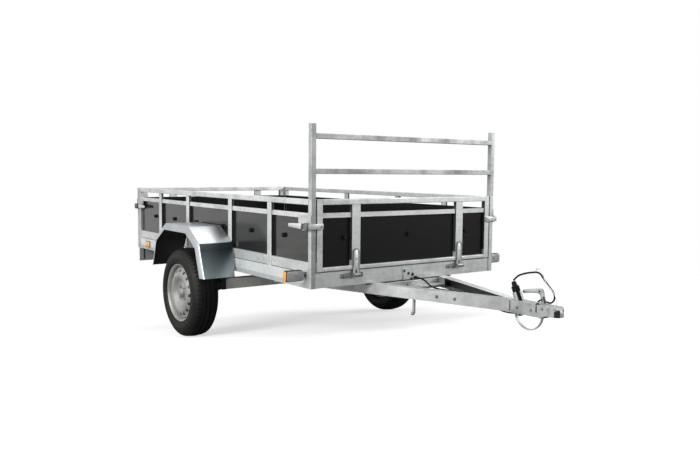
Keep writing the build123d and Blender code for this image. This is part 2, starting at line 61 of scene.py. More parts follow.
# the trailer is drawn level in millimetres, wheel axis over x = 0, then set nose down on its hoop
wheelRadius = 285.0
axleHeight = 281.0
trackHalf = 817.0
parkAngle = math.radians(8.6431)
parkShift = -0.508901
parkTurn = Matrix.Rotation(parkAngle, 4, "Y")
park = shift(parkShift, 0, wheelRadius / 1000) @ parkTurn @ Matrix.Scale(0.001, 4) @ shift(0, 0, -axleHeight)

boxHalf = 682.0  # half the width over the posts
boxInner = 652.0
boxFront = 1217.0
boxRear = -1278.0
boardFace = 664.0  # outside face of the side boards
gateBoardFace = 1199.0
knobHigh = 713.0
latchHigh = 777.0


# camera and light come first
camera = dict(place=(4415.4, -2785.7, 1073.5), yaw=53.647, pitch=4.561, roll=0.542, lens=37.974)
light = dict(sky=0.55, floorSize=80.0, floorGrey=0.20, floorGlow=0.62, floorShade=0.50, floorNear=2.2,
             floorFar=4.6)
lamps = dict(keyLamp=dict(place=(0.9, -4.8, 2.1), target=(0.0, 0.0, 0.5), size=2.6, power=230),
             topLamp=dict(place=(0.2, 0.4, 5.0), target=(0.0, 0.0, 0.5), size=3.0, power=55),
             frontLamp=dict(place=(3.6, 3.2, 1.9), target=(0.9, 0.4, 0.6), size=1.8, power=120))
white = (1, 1, 1, 1)


def addCamera():
    data = bpy.data.cameras.new("viewCamera")
    data.lens = camera["lens"]
    data.sensor_width = 36.0
    data.clip_start = 0.05
    data.clip_end = 60.0
    cam = bpy.data.objects.new("viewCamera", data)
    scene.collection.objects.link(cam)
    turn = turned(camera["yaw"], "Z") @ turned(90 - camera["pitch"], "X") @ turned(camera["roll"], "Z")
    cam.matrix_world = shift(*(park @ Vector(camera["place"]))) @ parkTurn @ turn
    scene.camera = cam


def addLamp(name, place, target, size, power):
    data = bpy.data.lights.new(name, "AREA")
    data.shape = "DISK"
    data.size = size
    data.energy = power
    lamp = bpy.data.objects.new(name, data)
    scene.collection.objects.link(lamp)
    lamp.location = place
    lamp.rotation_euler = (Vector(target) - Vector(place)).to_track_quat("-Z", "Y").to_euler()


def addNode(tree, kind, inputs=None, **settings):  # each input is a value, a node or a node's output
    node = tree.nodes.new("ShaderNode" + kind)
    for key, value in settings.items():
        setattr(node, key, value)
    for key, value in (inputs or {}).items():
        if isinstance(value, bpy.types.Node):
            value = value.outputs[0]
        if isinstance(value, bpy.types.NodeSocket):
            tree.links.new(value, node.inputs[key])
        else:
            node.inputs[key].default_value = value
    return node


def between(look, source, start, end):  # rises from 0 to 1 between two measures
    inputs = {"Value": source, "From Min": start, "From Max": end}
    return addNode(look.node_tree, "MapRange", inputs).outputs["Result"]


def addWorld():
    world = bpy.data.worlds.new("studioWhite")
    scene.world = world
    world.use_nodes = True
    tree = world.node_tree
    tree.nodes.clear()
    ray = addNode(tree, "LightPath").outputs
    direct = addNode(tree, "Math", {0: ray["Is Camera Ray"], 1: ray["Is Glossy Ray"]}, operation="MAXIMUM")
    clear = addNode(tree, "Math", {0: direct, 1: ray["Is Transmission Ray"]}, operation="MAXIMUM")
    soft = addNode(tree, "Background", {"Color": white, "Strength": light["sky"]})
    bright = addNode(tree, "Background", {"Color": white, "Strength": 1.0})
    mix = addNode(tree, "MixShader", {0: clear, 1: soft, 2: bright})
    addNode(tree, "OutputWorld", {"Surface": mix})


def addFloor():
    bpy.ops.mesh.primitive_plane_add(size=light["floorSize"], location=(0.0, 0.0, -0.001))
    floor = bpy.context.object
    floor.name = "studioFloor"
    bpy.ops.object.transform_apply(location=True, rotation=True, scale=True)
    look = bpy.data.materials.new("paleFloor")
    look.use_nodes = True
    tree = look.node_tree
    matt = tree.nodes["Principled BSDF"]  # what the lamps bounce off, so that undersides stay dark
    matt.inputs["Base Color"].default_value = (*[light["floorGrey"]] * 3, 1)
    matt.inputs["Roughness"].default_value = 0.9
    glow = addNode(tree, "Emission", {"Color": white, "Strength": light["floorGlow"]})
    shade = addNode(tree, "BsdfDiffuse", {"Color": (*[light["floorShade"]] * 3, 1)})
    pale = addNode(tree, "AddShader", {0: glow, 1: shade})
    spot = addNode(tree, "TexCoord").outputs["Object"]
    away = addNode(tree, "VectorMath", {0: spot}, operation="LENGTH").outputs["Value"]
    spread = between(look, away, light["floorNear"], light["floorFar"])
    bright = addNode(tree, "Emission", {"Color": white})
    sweep = addNode(tree, "MixShader", {0: spread, 1: pale, 2: bright})  # runs out into the white background
    seen = addNode(tree, "LightPath").outputs["Is Camera Ray"]
    mix = addNode(tree, "MixShader", {0: seen, 1: matt, 2: sweep})
    tree.links.new(mix.outputs[0], tree.nodes["Material Output"].inputs["Surface"])
    floor.data.materials.append(look)


bpy.ops.object.select_all(action="DESELECT")
addCamera()
addWorld()
addFloor()
for name, lamp in lamps.items():
    addLamp(name, **lamp)
scene.view_settings.view_transform = "Standard"
print("camera and lamps are up")


# finishes
forward = (math.cos(parkAngle), 0, -math.sin(parkAngle))  # the level x axis, as the parked pieces see it
# how fine each texture is, in cells to the metre
cells = dict(clouds=7.0, spangle=95.0, runs=30.0, grain=22.0, film=420.0, dust=14.0, pores=700.0,
             moulding=900.0, scuff=40.0, sheen=5.0, rolled=120.0)
zinc = dict(brightest=1.12, flakeLeft=0.80, flakeShare=0.55, streakLeft=0.86, streakShare=0.6, bandEdge=0.006,
            bandLeft=0.72, rougher=0.14, smoother=0.10)
# where the mudguards' end faces take their painted reflection: heights over the ground in metres, and how
# square a face stands to the level x axis
guardEndReflection = dict(low=0.415, high=0.625, lowest=0.3, square=0.6)


def newLook(name, colour, metal, rough, gloss=0.5):
    look = bpy.data.materials.new(name)
    look.use_nodes = True
    shader = look.node_tree.nodes["Principled BSDF"]
    shader.inputs["Base Color"].default_value = (*colour, 1)
    shader.inputs["Metallic"].default_value = metal
    shader.inputs["Roughness"].default_value = rough
    shader.inputs["Specular IOR Level"].default_value = gloss
    return look


def scaled(colour, share):  # a lighter or darker shade
    return tuple(min(1, share * part) for part in colour)


def addTexture(look, kind, scale, stretch=(1, 1, 1), **inputs):  # a texture read in the piece's own metres
    tree = look.node_tree
    size = addNode(tree, "Mapping", {"Vector": addNode(tree, "TexCoord").outputs["Object"], "Scale": stretch})
    return addNode(tree, "Tex" + kind, {"Vector": size, "Scale": scale, **inputs})


def addRamp(look, source, stops):  # stops of (position, grey or colour)
    ramp = addNode(look.node_tree, "ValToRGB", {"Fac": source})
    elements = ramp.color_ramp.elements
    elements[0].position = stops[0][0]
    elements[1].position = stops[-1][0]
    for stop in stops[1:-1]:
        elements.new(stop[0])
    for element, stop in zip(elements, stops):
        value = stop[1] if isinstance(stop[1], tuple) else (stop[1],) * 3
        element.color = (*value, 1)
    return ramp.outputs["Color"]


def blendColours(look, first, second, share=1.0, blend="MULTIPLY"):
    inputs = {"Factor": share, "A": first, "B": second}
    return addNode(look.node_tree, "Mix", inputs, data_type="RGBA", blend_type=blend).outputs["Result"]


def feed(look, source, socket):
    look.node_tree.links.new(source, look.node_tree.nodes["Principled BSDF"].inputs[socket])


def addBump(look, source, strength, depth):
    bump = addNode(look.node_tree, "Bump", {"Strength": strength, "Distance": depth, "Height": source})
    feed(look, bump.outputs["Normal"], "Normal")


def levelHeight(look):  # height over the level ground, in metres, wherever the piece is
    tree = look.node_tree
    upright = (math.sin(parkAngle), 0, math.cos(parkAngle))
    raised = (axleHeight - wheelRadius * math.cos(parkAngle)) / 1000 - parkShift * math.sin(parkAngle)
    spot = addNode(tree, "TexCoord").outputs["Object"]
    along = addNode(tree, "VectorMath", {0: spot, 1: upright}, operation="DOT_PRODUCT").outputs["Value"]
    return addNode(tree, "Math", {0: along, 1: raised}).outputs[0]


def flankMask(look, axis, lowest, square=0.85):  # 1 on faces that look along an axis or back, above a height
    tree = look.node_tree
    turn = addNode(tree, "TexCoord").outputs["Normal"]
    along = addNode(tree, "VectorMath", {0: turn, 1: axis}, operation="DOT_PRODUCT").outputs["Value"]
    size = addNode(tree, "Math", {0: along}, operation="ABSOLUTE")
    steep = addNode(tree, "Math", {0: size, 1: square}, operation="GREATER_THAN")
    high = addNode(tree, "Math", {0: levelHeight(look), 1: lowest}, operation="GREATER_THAN")
    return addNode(tree, "Math", {0: steep, 1: high}, operation="MULTIPLY").outputs[0]


def innerMask(look, square=0.6):  # 1 on faces turned towards the middle of the trailer
    tree = look.node_tree
    spot = addNode(tree, "TexCoord").outputs
    turn = addNode(tree, "SeparateXYZ", {0: spot["Normal"]})
    place = addNode(tree, "SeparateXYZ", {0: spot["Object"]})
    side = addNode(tree, "Math", {0: place.outputs["Y"]}, operation="SIGN")
    inwards = addNode(tree, "Math", {0: side, 1: turn.outputs["Y"]}, operation="MULTIPLY")
    return addNode(tree, "Math", {0: inwards, 1: -square}, operation="LESS_THAN").outputs[0]


# hot-dip zinc: cloudy, spangled, dull in patches
def makeZinc(name, dark, bright, rough, metal=0.75, paintedShade=None, band=None, fade=None):
    look = newLook(name, bright, metal, rough)
    clouds = addTexture(look, "Noise", cells["clouds"], Detail=6.0, Roughness=0.62)
    spangle = addTexture(look, "Voronoi", cells["spangle"])
    runs = addTexture(look, "Noise", cells["runs"], stretch=(0.25, 0.25, 1.6), Detail=4.0)
    brightest = scaled(bright, zinc["brightest"])
    cloudy = addRamp(look, clouds.outputs["Fac"], [(0.30, dark), (0.55, bright), (0.75, brightest)])
    flakes = addRamp(look, spangle.outputs["Color"], [(0.0, zinc["flakeLeft"]), (1.0, 1.0)])
    streaks = addRamp(look, runs.outputs["Fac"], [(0.35, zinc["streakLeft"]), (0.6, 1.0)])
    colour = blendColours(look, cloudy, flakes, zinc["flakeShare"])
    colour = blendColours(look, colour, streaks, zinc["streakShare"])
    if paintedShade:  # painted shade on faces turned one way: which faces, how much of the brightness they keep, and above what height
        where, left, above = paintedShade
        axis = forward if where == "along" else (0, 1, 0)
        mask = innerMask(look) if where == "inner" else flankMask(look, axis, above)
        colour = blendColours(look, colour, addRamp(look, mask, [(0.0, 1.0), (1.0, left)]))
    if band:  # a darker strip along the foot of a rail: painted shade
        strip = between(look, levelHeight(look), band - zinc["bandEdge"], band)
        colour = blendColours(look, colour, addRamp(look, strip, [(0.0, zinc["bandLeft"]), (1.0, 1.0)]))
    if fade:  # duller towards one end
        start, end, left = fade
        place = addNode(look.node_tree, "TexCoord").outputs["Object"]
        run = between(look, addNode(look.node_tree, "SeparateXYZ", {0: place}).outputs["X"], start, end)
        colour = blendColours(look, colour, addRamp(look, run, [(0.0, 1.0), (1.0, left)]))
    feed(look, colour, "Base Color")
    dull, shiny = rough + zinc["rougher"], rough - zinc["smoother"]
    feed(look, addRamp(look, clouds.outputs["Fac"], [(0.3, dull), (0.7, shiny)]), "Roughness")
    addBump(look, spangle.outputs["Distance"], 0.10, 0.0008)
    return look


def makeBoard(name, tone, rough, gloss):  # film-faced board: dark, smooth, with faint long grain
    tint = (tone, tone * 0.96, tone * 0.88)
    look = newLook(name, tint, 0.0, rough, gloss)
    grain = addTexture(look, "Noise", cells["grain"], stretch=(0.18, 1.0, 1.4), Detail=5.0).outputs["Fac"]
    feed(look, addRamp(look, grain, [(0.35, scaled(tint, 0.75)), (0.65, scaled(tint, 1.25))]), "Base Color")
    feed(look, addRamp(look, grain, [(0.3, rough + 0.06), (0.7, rough - 0.05)]), "Roughness")
    addBump(look, addTexture(look, "Voronoi", cells["film"]).outputs["Distance"], 0.05, 0.0003)
    return look


def makeRubber(name, tone, rough, gloss=0.27):
    look = newLook(name, (tone, tone, tone), 0.0, rough, gloss)
    dust = addTexture(look, "Noise", cells["dust"], Detail=6.0).outputs["Fac"]
    clean, dusty = (tone, tone, tone * 0.95), (tone * 2.4, tone * 2.3, tone * 2.0)
    feed(look, addRamp(look, dust, [(0.4, clean), (0.75, dusty)]), "Base Color")
    feed(look, addRamp(look, dust, [(0.3, rough - 0.08), (0.7, rough + 0.12)]), "Roughness")
    addBump(look, addTexture(look, "Noise", cells["pores"], Detail=2.0).outputs["Fac"], 0.25, 0.0004)
    return look


def makePlastic(name, colour, rough, gloss=0.5):
    look = newLook(name, colour, 0.0, rough, gloss)
    addBump(look, addTexture(look, "Noise", cells["moulding"], Detail=2.0).outputs["Fac"], 0.15, 0.0002)
    scuff = addTexture(look, "Noise", cells["scuff"], Detail=4.0).outputs["Fac"]
    feed(look, addRamp(look, scuff, [(0.3, rough - 0.07), (0.7, rough + 0.1)]), "Roughness")
    return look


def makeLens(name, colour, ribs):  # moulded lens, ribbed inside
    look = newLook(name, colour, 0.0, 0.12)
    shader = look.node_tree.nodes["Principled BSDF"]
    shader.inputs["Coat Weight"].default_value = 0.6
    shader.inputs["Coat Roughness"].default_value = 0.05
    waves = addTexture(look, "Wave", ribs)
    waves.wave_type = "BANDS"
    waves.bands_direction = "Z"
    height = waves.outputs["Fac"]
    feed(look, addRamp(look, height, [(0.2, scaled(colour, 0.72)), (0.8, scaled(colour, 1.1))]), "Base Color")
    addBump(look, height, 0.3, 0.0008)
    return look


def makeSheet(name, tone):  # bright rolled zinc, its end faces painted dark as a bluish painted reflection, darkest at the fold
    look = newLook(name, tone, 1.0, 0.2)
    sheen = addTexture(look, "Noise", cells["sheen"], stretch=(1, 1, 0.5), Detail=3.0).outputs["Fac"]
    spangle = addTexture(look, "Voronoi", cells["rolled"])
    smooth = addRamp(look, sheen, [(0.3, scaled(tone, 0.82)), (0.7, tone)])
    flakes = addRamp(look, spangle.outputs["Color"], [(0.0, 0.86), (1.0, 1.0)])
    # painted reflection on the end faces: lighter towards the foot, darkest near the fold
    climb = between(look, levelHeight(look), guardEndReflection["low"], guardEndReflection["high"])
    paintedReflection = addRamp(look, climb, [(0.0, (0.27, 0.31, 0.32)), (0.45, (0.15, 0.18, 0.19)),
                                  (0.8, (0.062, 0.078, 0.088)), (1.0, (0.08, 0.098, 0.108))])
    ends = flankMask(look, forward, guardEndReflection["lowest"], guardEndReflection["square"])
    colour = blendColours(look, smooth, paintedReflection, ends, "MIX")
    feed(look, blendColours(look, colour, flakes, 0.5), "Base Color")
    feed(look, addRamp(look, sheen, [(0.3, 0.38), (0.7, 0.28)]), "Roughness")
    addBump(look, sheen, 0.12, 0.004)
    return look


looks = dict(
    zinc=makeZinc("zincPosts", (0.40, 0.42, 0.42), (0.60, 0.62, 0.61), 0.46),
    # zincSides and zincGates carry painted shade: faces turned along the trailer (post flanks) or across it
    # (gate upright flanks) keep a tenth of their brightness above 0.588 m
    zincSides=makeZinc("zincSides", (0.50, 0.52, 0.52), (0.72, 0.74, 0.73), 0.46,
                       paintedShade=("along", 0.10, 0.588)),
    zincGates=makeZinc("zincGates", (0.42, 0.44, 0.44), (0.64, 0.66, 0.65), 0.46,
                       paintedShade=("across", 0.10, 0.588)),
    # zincCorner: painted shade, its faces turned to the front and rear darkened to 0.60 above 0.3 m
    zincCorner=makeZinc("zincCorner", (0.40, 0.42, 0.42), (0.58, 0.60, 0.59), 0.5,
                        paintedShade=("along", 0.60, 0.3)),
    # zincLegs and zincLegNear: painted shade on the faces turned towards the trailer's middle
    zincLegs=makeZinc("zincLegs", (0.50, 0.52, 0.52), (0.72, 0.74, 0.73), 0.46, paintedShade=("inner", 0.10, 0)),
    zincLegNear=makeZinc("zincLegNear", (0.45, 0.465, 0.46), (0.65, 0.67, 0.66), 0.5,
                         paintedShade=("inner", 0.10, 0), fade=(0.70, 1.47, 0.58)),
    # zincRail is a lighter copy of the zinc: painted light on the chassis rails and on the lamp board in the
    # wheel's shade
    zincRail=makeZinc("zincRail", (0.62, 0.65, 0.65), (0.86, 0.88, 0.87), 0.5, band=0.478),
    zincCast=makeZinc("zincCast", (0.28, 0.29, 0.29), (0.44, 0.455, 0.45), 0.66),
    zincAged=makeZinc("zincAged", (0.13, 0.14, 0.14), (0.25, 0.26, 0.26), 0.62),
    # zincHead is a darker copy of the zinc: painted shade on the headboard frame
    zincHead=makeZinc("zincHead", (0.29, 0.30, 0.30), (0.42, 0.435, 0.43), 0.6),
    zincDull=makeZinc("zincDull", (0.20, 0.21, 0.21), (0.36, 0.37, 0.37), 0.6),
    # axle is a near-white, unmetallic copy of the zinc: painted light on the beam in the box's shade
    axle=makeZinc("axleZinc", (0.72, 0.72, 0.67), (0.90, 0.90, 0.84), 0.6, metal=0.0),
    guardSheet=makeSheet("brightSheet", (0.50, 0.52, 0.54)),
    rim=makeZinc("rimSilver", (0.19, 0.19, 0.175), (0.31, 0.31, 0.295), 0.52, metal=0.2),
    # boardSide and boardFront are one film-faced board: the front copy's darker tone is painted shade
    boardSide=makeBoard("boardSide", 0.012, 0.14, 0.62),
    boardFront=makeBoard("boardFront", 0.004, 0.34, 0.20),
    boardInner=makeBoard("boardInner", 0.004, 0.5, 0.12),
    tyre=makeRubber("tyreRubber", 0.0035, 0.6),
    black=makePlastic("blackPlastic", (0.012, 0.012, 0.013), 0.42),
    blackDull=makePlastic("blackMoulding", (0.004, 0.004, 0.004), 0.6, 0.14),
    housing=makePlastic("lampHousing", (0.03, 0.03, 0.03), 0.5),
    clear=makeLens("clearLens", (0.33, 0.34, 0.33), 260.0),
    amber=makeLens("amberLens", (0.86, 0.36, 0.04), 300.0),
    red=makeLens("redLens", (0.45, 0.015, 0.015), 300.0),
    plate=makePlastic("plateWhite", (0.78, 0.78, 0.76), 0.4),
    wire=makeZinc("wireZinc", (0.45, 0.46, 0.46), (0.66, 0.67, 0.67), 0.4),
    zincBright=makeZinc("zincBright", (0.55, 0.57, 0.57), (0.76, 0.78, 0.77), 0.42),
    # guardUnder: a dark sheet for the mudguards' undersides, painted shade
    guardUnder=makePlastic("guardUnderside", (0.02, 0.021, 0.02), 0.85),
)
slotLooks = dict(galvanised="zinc", guard_sheet="guardSheet", axle_steel="zincDull", wheel_steel="rim",
                 phenolic="boardSide", tyre="tyre", black_plastic="black", amber="amber", red_lens="red",
                 plate_white="plate", wire="wire")  # for solids that finish doesn't name
finish = dict(front_gate_panel="boardFront", rear_gate_panel="boardInner", load_floor="boardInner",
              front_gate_frame="zincGates", rear_gate_frame="zincGates", headboard_frame="zincHead",
              side_frame_right="zincSides", side_frame_left="zincSides", corner_post_front_right="zincCorner",
              chassis_rail_right="zincRail", chassis_rail_left="zincRail", lamp_board="zincRail",
              drawbar_leg_right="zincLegNear", drawbar_leg_left="zincLegs", coupling_body="zincCast",
              axle_mounts="black", axle_arm_right="black", axle_arm_left="black",
              axle_beam="axle", hinge_brackets="zincAged")


def dressCad():
    for part in frame["record"]["subparts"]:
        name = part["node"]
        mesh = cad[name].data
        mesh.materials.clear()
        mesh.materials.append(looks[finish.get(name, slotLooks[part["material_slot"]])])


dressCad()
print("the frame has its finishes")


# modelling helpers, all in level millimetres until a piece is settled
def pick(piece):
    bpy.ops.object.select_all(action="DESELECT")
    piece.select_set(True)
    bpy.context.view_layer.objects.active = piece


def edit(piece):
    pick(piece)
    bpy.ops.object.mode_set(mode="EDIT")
    bpy.ops.mesh.select_mode(type="VERT")
    bpy.ops.mesh.select_all(action="SELECT")


def leave():
    bpy.ops.object.mode_set(mode="OBJECT")


def closeUp():  # faces outwards, then back to object mode
    bpy.ops.mesh.select_all(action="SELECT")
    bpy.ops.mesh.normals_make_consistent(inside=False)
    leave()


def modify(piece, kind, **settings):  # a modifier, applied at once
    pick(piece)
    bpy.ops.object.modifier_add(type=kind)
    modifier = piece.modifiers[-1]
    for key, value in settings.items():
        setattr(modifier, key, value)
    bpy.ops.object.modifier_apply(modifier=modifier.name)


def roundEdges(piece, width, segments=2, angle=40):
    modify(piece, "BEVEL", width=width, segments=segments, limit_method="ANGLE",
           angle_limit=math.radians(angle))


def traceLine(name, points):  # one vertex, extruded from point to point; stays in edit mode
    bpy.ops.object.select_all(action="DESELECT")
    bpy.ops.mesh.primitive_plane_add(size=1)
    piece = bpy.context.object
    piece.name = name
    edit(piece)
    bpy.ops.mesh.merge(type="CENTER")
    bpy.ops.transform.translate(value=points[0])
    for start, end in zip(points, points[1:]):
        step = Vector(end) - Vector(start)
        bpy.ops.mesh.extrude_vertices_move(TRANSFORM_OT_translate={"value": step})
    return piece


def lathe(name, profile, steps):  # profile of (radius, y), spun round the y axis
    piece = traceLine(name, [(radius, y, 0) for radius, y in profile])
    bpy.ops.mesh.select_all(action="SELECT")
    bpy.ops.mesh.spin(steps=steps, angle=math.tau, center=(0, 0, 0), axis=(0, 1, 0))
    bpy.ops.mesh.select_all(action="SELECT")
    bpy.ops.mesh.remove_doubles(threshold=0.02)
    closeUp()
    return piece


def cutPlate(name, outline, side, start, depth):  # outline across the x, y or z side, then extruded
    spot = "xyz".index(side)
    push = [0, 0, 0]
    push[spot] = depth
    piece = traceLine(name, [(*pair[:spot], start, *pair[spot:]) for pair in outline])
    bpy.ops.mesh.select_all(action="SELECT")
    bpy.ops.mesh.edge_face_add()
    bpy.ops.mesh.extrude_region_move(TRANSFORM_OT_translate={"value": push})
    closeUp()
    return piece


def addBlock(name, low, high, edge=1.0):  # block between two corners, its edges rounded
    bpy.ops.object.select_all(action="DESELECT")
    middle = [(a + b) / 2 for a, b in zip(low, high)]
    bpy.ops.mesh.primitive_cube_add(size=1, location=middle, scale=[b - a for a, b in zip(low, high)])
    piece = bpy.context.object
    piece.name = name
    bpy.ops.object.transform_apply(location=True, rotation=True, scale=True)
    if edge:
        roundEdges(piece, edge)
    return piece


def addRound(name, centre, radius, depth, along="y", sides=24, edge=0.8):
    bpy.ops.object.select_all(action="DESELECT")
    turn = {"x": (0, math.pi / 2, 0), "y": (math.pi / 2, 0, 0), "z": (0, 0, 0)}[along]
    bpy.ops.mesh.primitive_cylinder_add(vertices=sides, radius=radius, depth=depth, location=centre,
                                        rotation=turn)
    piece = bpy.context.object
    piece.name = name
    bpy.ops.object.transform_apply(location=True, rotation=True, scale=True)
    if edge:
        roundEdges(piece, edge)
    return piece


def copyOf(piece, matrix):
    twin = piece.copy()
    twin.data = piece.data.copy()
    scene.collection.objects.link(twin)
    twin.data.transform(matrix)
    if matrix.determinant() < 0:
        twin.data.flip_normals()
    return twin


def arc(radius, start, end, steps, centre=(0, 0)):  # points from one angle to another, in degrees
    angles = [math.radians(start + (end - start) * k / steps) for k in range(steps + 1)]
    return [(centre[0] + radius * math.cos(a), centre[1] + radius * math.sin(a)) for a in angles]


same = Matrix.Identity(4)
acrossY = Matrix.Scale(-1, 4, (0, 1, 0))
acrossEnds = shift(boxFront + boxRear, 0, 0) @ Matrix.Scale(-1, 4, (1, 0, 0))


def joinAll(name, pieces):
    bpy.ops.object.select_all(action="DESELECT")
    for piece in pieces:
        piece.select_set(True)
    bpy.context.view_layer.objects.active = pieces[0]
    if len(pieces) > 1:
        bpy.ops.object.join()
    joined = bpy.context.object
    joined.name = name
    return joined


def settle(piece, body, look, angle=35):  # parks a finished piece on its body
    piece.data.transform(park)
    if look:
        paint(piece, look)
    pick(piece)
    bpy.ops.object.shade_smooth_by_angle(angle=math.radians(angle))
    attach(piece, body)
    return piece


def paint(piece, look):  # for one part of a piece that is joined later
    piece.data.materials.clear()
    piece.data.materials.append(looks[look])
    return piece


def bothSides(name, piece):  # joined with its mirror image
    return joinAll(name, [piece, copyOf(piece, acrossY)])


def spacedRound(piece, count, turn=same):  # copies of a small piece, spaced round the y axis
    copies = [copyOf(piece, Matrix.Rotation(k * math.tau / count, 4, "Y") @ turn) for k in range(count)]
    bpy.data.objects.remove(piece)
    return copies


def fitGates(mould, places, name, node, look):  # the same pieces on both gates, the rear ones mirrored
    for end, turn in (("front", same), ("rear", acrossEnds)):
        piece = joinAll(end + name, [copyOf(mould, turn @ place) for place in places])
        settle(piece, end + "_gate", look)
        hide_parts(end + "_gate" + node)
    bpy.data.objects.remove(mould)


# cords, through the same points as their solids
cable = dict(diameter=0.009, length=1.389, points=[
    (1991, 1, 540), (2006, 8, 562), (2040, 14, 578), (2089, 18, 590), (2135, 20, 596), (2165, 19, 562),
    (2196, 18, 533), (2222, 20, 511), (2229, 21, 480), (2208, 22, 455), (2175, 26, 457), (2142, 37, 464),
    (2106, 50, 448), (2076, 56, 415), (2038, 52, 386), (1994, 36, 372), (1940, 12, 371), (1882, 0, 384),
    (1830, -4, 412), (1760, -8, 432), (1660, -22, 438), (1560, -34, 434), (1460, -26, 430),
    (1370, 8, 436), (1300, 38, 456), (1226, 40, 458)])
safetyWire = dict(diameter=0.003, length=0.238, points=[
    (2252, 0, 449), (2254, 2, 470), (2247, 4, 492), (2228, 4, 520), (2198, 2, 540), (2180, 0, 565),
    (2174, -1, 592), (2150, -2, 618), (2131, -1, 614), (2126, 3, 600)])


def layCord(name, cord, look, node):
    data = bpy.data.curves.new(name, "CURVE")
    data.dimensions = "3D"
    line = data.splines.new("NURBS")
    line.points.add(len(cord["points"]) - 1)
    for knot, point in zip(line.points, cord["points"]):
        knot.co = (*(park @ Vector(point)), 1)
    line.order_u = 3
    line.use_endpoint_u = True
    line.resolution_u = 10
    data.bevel_depth = cord["diameter"] / 2
    data.bevel_resolution = 4
    data.use_fill_caps = True
    data.materials.append(looks[look])
    piece = bpy.data.objects.new(name, data)
    scene.collection.objects.link(piece)
    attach(piece, "trailer")
    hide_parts(node)
    return piece


lampCable = layCord("lampCable", cable, "blackDull", "cable")
breakWire = layCord("breakawayWire", safetyWire, "wire", "safety_wire")


# plug: ribbed grip, collar and cap on the same lean as its holder
plug = dict(foot=(2033.0, 0.0, 449.0), lean=25.5, seat=14.0, shoulder=70.0, length=95.0, radius=20.0, ribs=14)
plugTurn = shift(*plug["foot"]) @ turned(-plug["lean"], "Y")
holder = dict(outer=23.0, inner=20.6, length=40.0, slot=(-60, -12))  # the slot's edges, in degrees


def makePlug():
    r, seat, shoulder, top = plug["radius"], plug["seat"], plug["shoulder"], plug["length"]
    profile = [(0.01, seat), (r - 2, seat), (r, seat + 2), (r, seat + 24), (r - 2.5, seat + 26),
               (r - 2.5, shoulder - 10), (r, shoulder - 8), (r, shoulder - 1),
               (r - 2, shoulder), (13.5, shoulder + 3), (12, top - 6), (9.5, top), (0.01, top)]
    body = lathe("plugBody", profile, 40)
    rib = addBlock("rib", (r - 4, seat + 27, -1.4), (r - 0.4, shoulder - 11, 1.4), 0.6)
    piece = joinAll("cordPlug", [body] + spacedRound(rib, plug["ribs"]))
    piece.data.transform(plugTurn @ turned(90, "X"))
    settle(piece, "trailer", "blackDull")
    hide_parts("plug")
    return piece


def makeHolder():  # slotted tube on the coupling that the plug stands in, its foot cut level
    inner, seat = holder["inner"], plug["seat"]
    low, high = holder["slot"]
    ring = arc(holder["outer"], high, 360 + low, 40) + arc(inner, 360 + low, high, 40)
    shell = cutPlate("holderShell", ring, "z", -seat, seat + holder["length"])
    base = cutPlate("holderFoot", arc(inner, 0, 360, 40)[:-1], "z", -seat, 2 * seat - 0.3)
    for piece in (shell, base):
        piece.data.transform(plugTurn)
        edit(piece)
        bpy.ops.mesh.bisect(plane_co=plug["foot"], plane_no=(0, 0, 1), use_fill=True, clear_inner=True)
        leave()
    roundEdges(shell, 0.5, 1)
    piece = joinAll("plugHolder", [paint(shell, "zincCast"), paint(base, "blackDull")])
    settle(piece, "trailer", None)
    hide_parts("plug_holder")


cordPlug = makePlug()
makeHolder()
print("cords and plug are laid")


# wheels: drawn about the origin with the outside towards -Y, then set on the axle
wheel = dict(nuts=4, nutCircle=50.0, vents=16, ventCircle=139.0, ventRadius=11.0, ventY=-63.25, ventLean=36,
             blocks=60, groove=5.0, blockLean=0.12, valveCircle=154.0)


def fitWheels(mould, name, look, angle, node=None):  # a copy on either wheel, in place of its solid
    for side, hand, turn in ((-1, "right", same), (1, "left", turned(180, "Z"))):
        piece = copyOf(mould, shift(0, side * trackHalf, axleHeight) @ turn)
        piece.name = name + "_" + hand
        settle(piece, "wheel_" + hand, look, angle)
        if node:
            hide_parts(node + "_" + hand)
    bpy.data.objects.remove(mould)


def makeCarcass():
    half = [(175, -64.5), (182, -66.5), (187, -73), (190, -79.2), (193, -82.5), (197, -83.4), (199, -82.2),
            (202, -82.8), (205, -84.6), (208, -84.4), (214, -86.2), (227, -87.8), (238, -85.2), (247, -80.2),
            (250, -80.0), (252, -77.6), (262, -69.5), (266, -64.0), (270.0, -56), (273.5, -46), (274.5, -42)]
    middle = [(275, -40), (281.2, -39.3), (282.8, -24), (283.2, -19.6), (276, -18.8), (276, -13.2),
              (284.2, -12.4), (285, 0)]
    outline = half + middle
    outline += [(radius, -y) for radius, y in reversed(outline[:-1])]
    outline.append(outline[0])
    return lathe("carcass", outline, 96)


def makeTreadRow(outline, count, gap, lean):  # one block's section in y and radius, copied round the wheel
    step = math.tau / count
    length = step * outline[0][1] - gap
    block = cutPlate("treadBlock", outline, "x", -length / 2, length)
    for vertex in block.data.vertices:  # the block's two ends lean, as a moulded groove does
        vertex.co.x += lean * vertex.co.y
    edit(block)
    bpy.ops.mesh.spin(steps=count - 1, angle=step * (count - 1), dupli=True, center=(0, 0, 0), axis=(0, 1, 0))
    leave()
    return block


def makeTyre():
    shoulder = [(-41.5, 281.0), (-48, 279.6), (-56, 276.9), (-64, 272.2), (-70, 265.5), (-74.5, 257.5),
                (-71, 253), (-60, 262), (-42, 270)]
    rows = [makeTreadRow(shoulder, wheel["blocks"], wheel["groove"], wheel["blockLean"])]
    rows.append(copyOf(rows[0], Matrix.Rotation(math.pi / wheel["blocks"], 4, "Y") @ acrossY))
    fitWheels(joinAll("tyreMould", [makeCarcass()] + rows), "roadTyre", "tyre", 32, "tyre")


def ventPlace():  # the middle of a vent, its axis square to the disc's outer slope
    return shift(wheel["ventCircle"] + 2, wheel["ventY"], 0) @ turned(wheel["ventLean"], "Z")


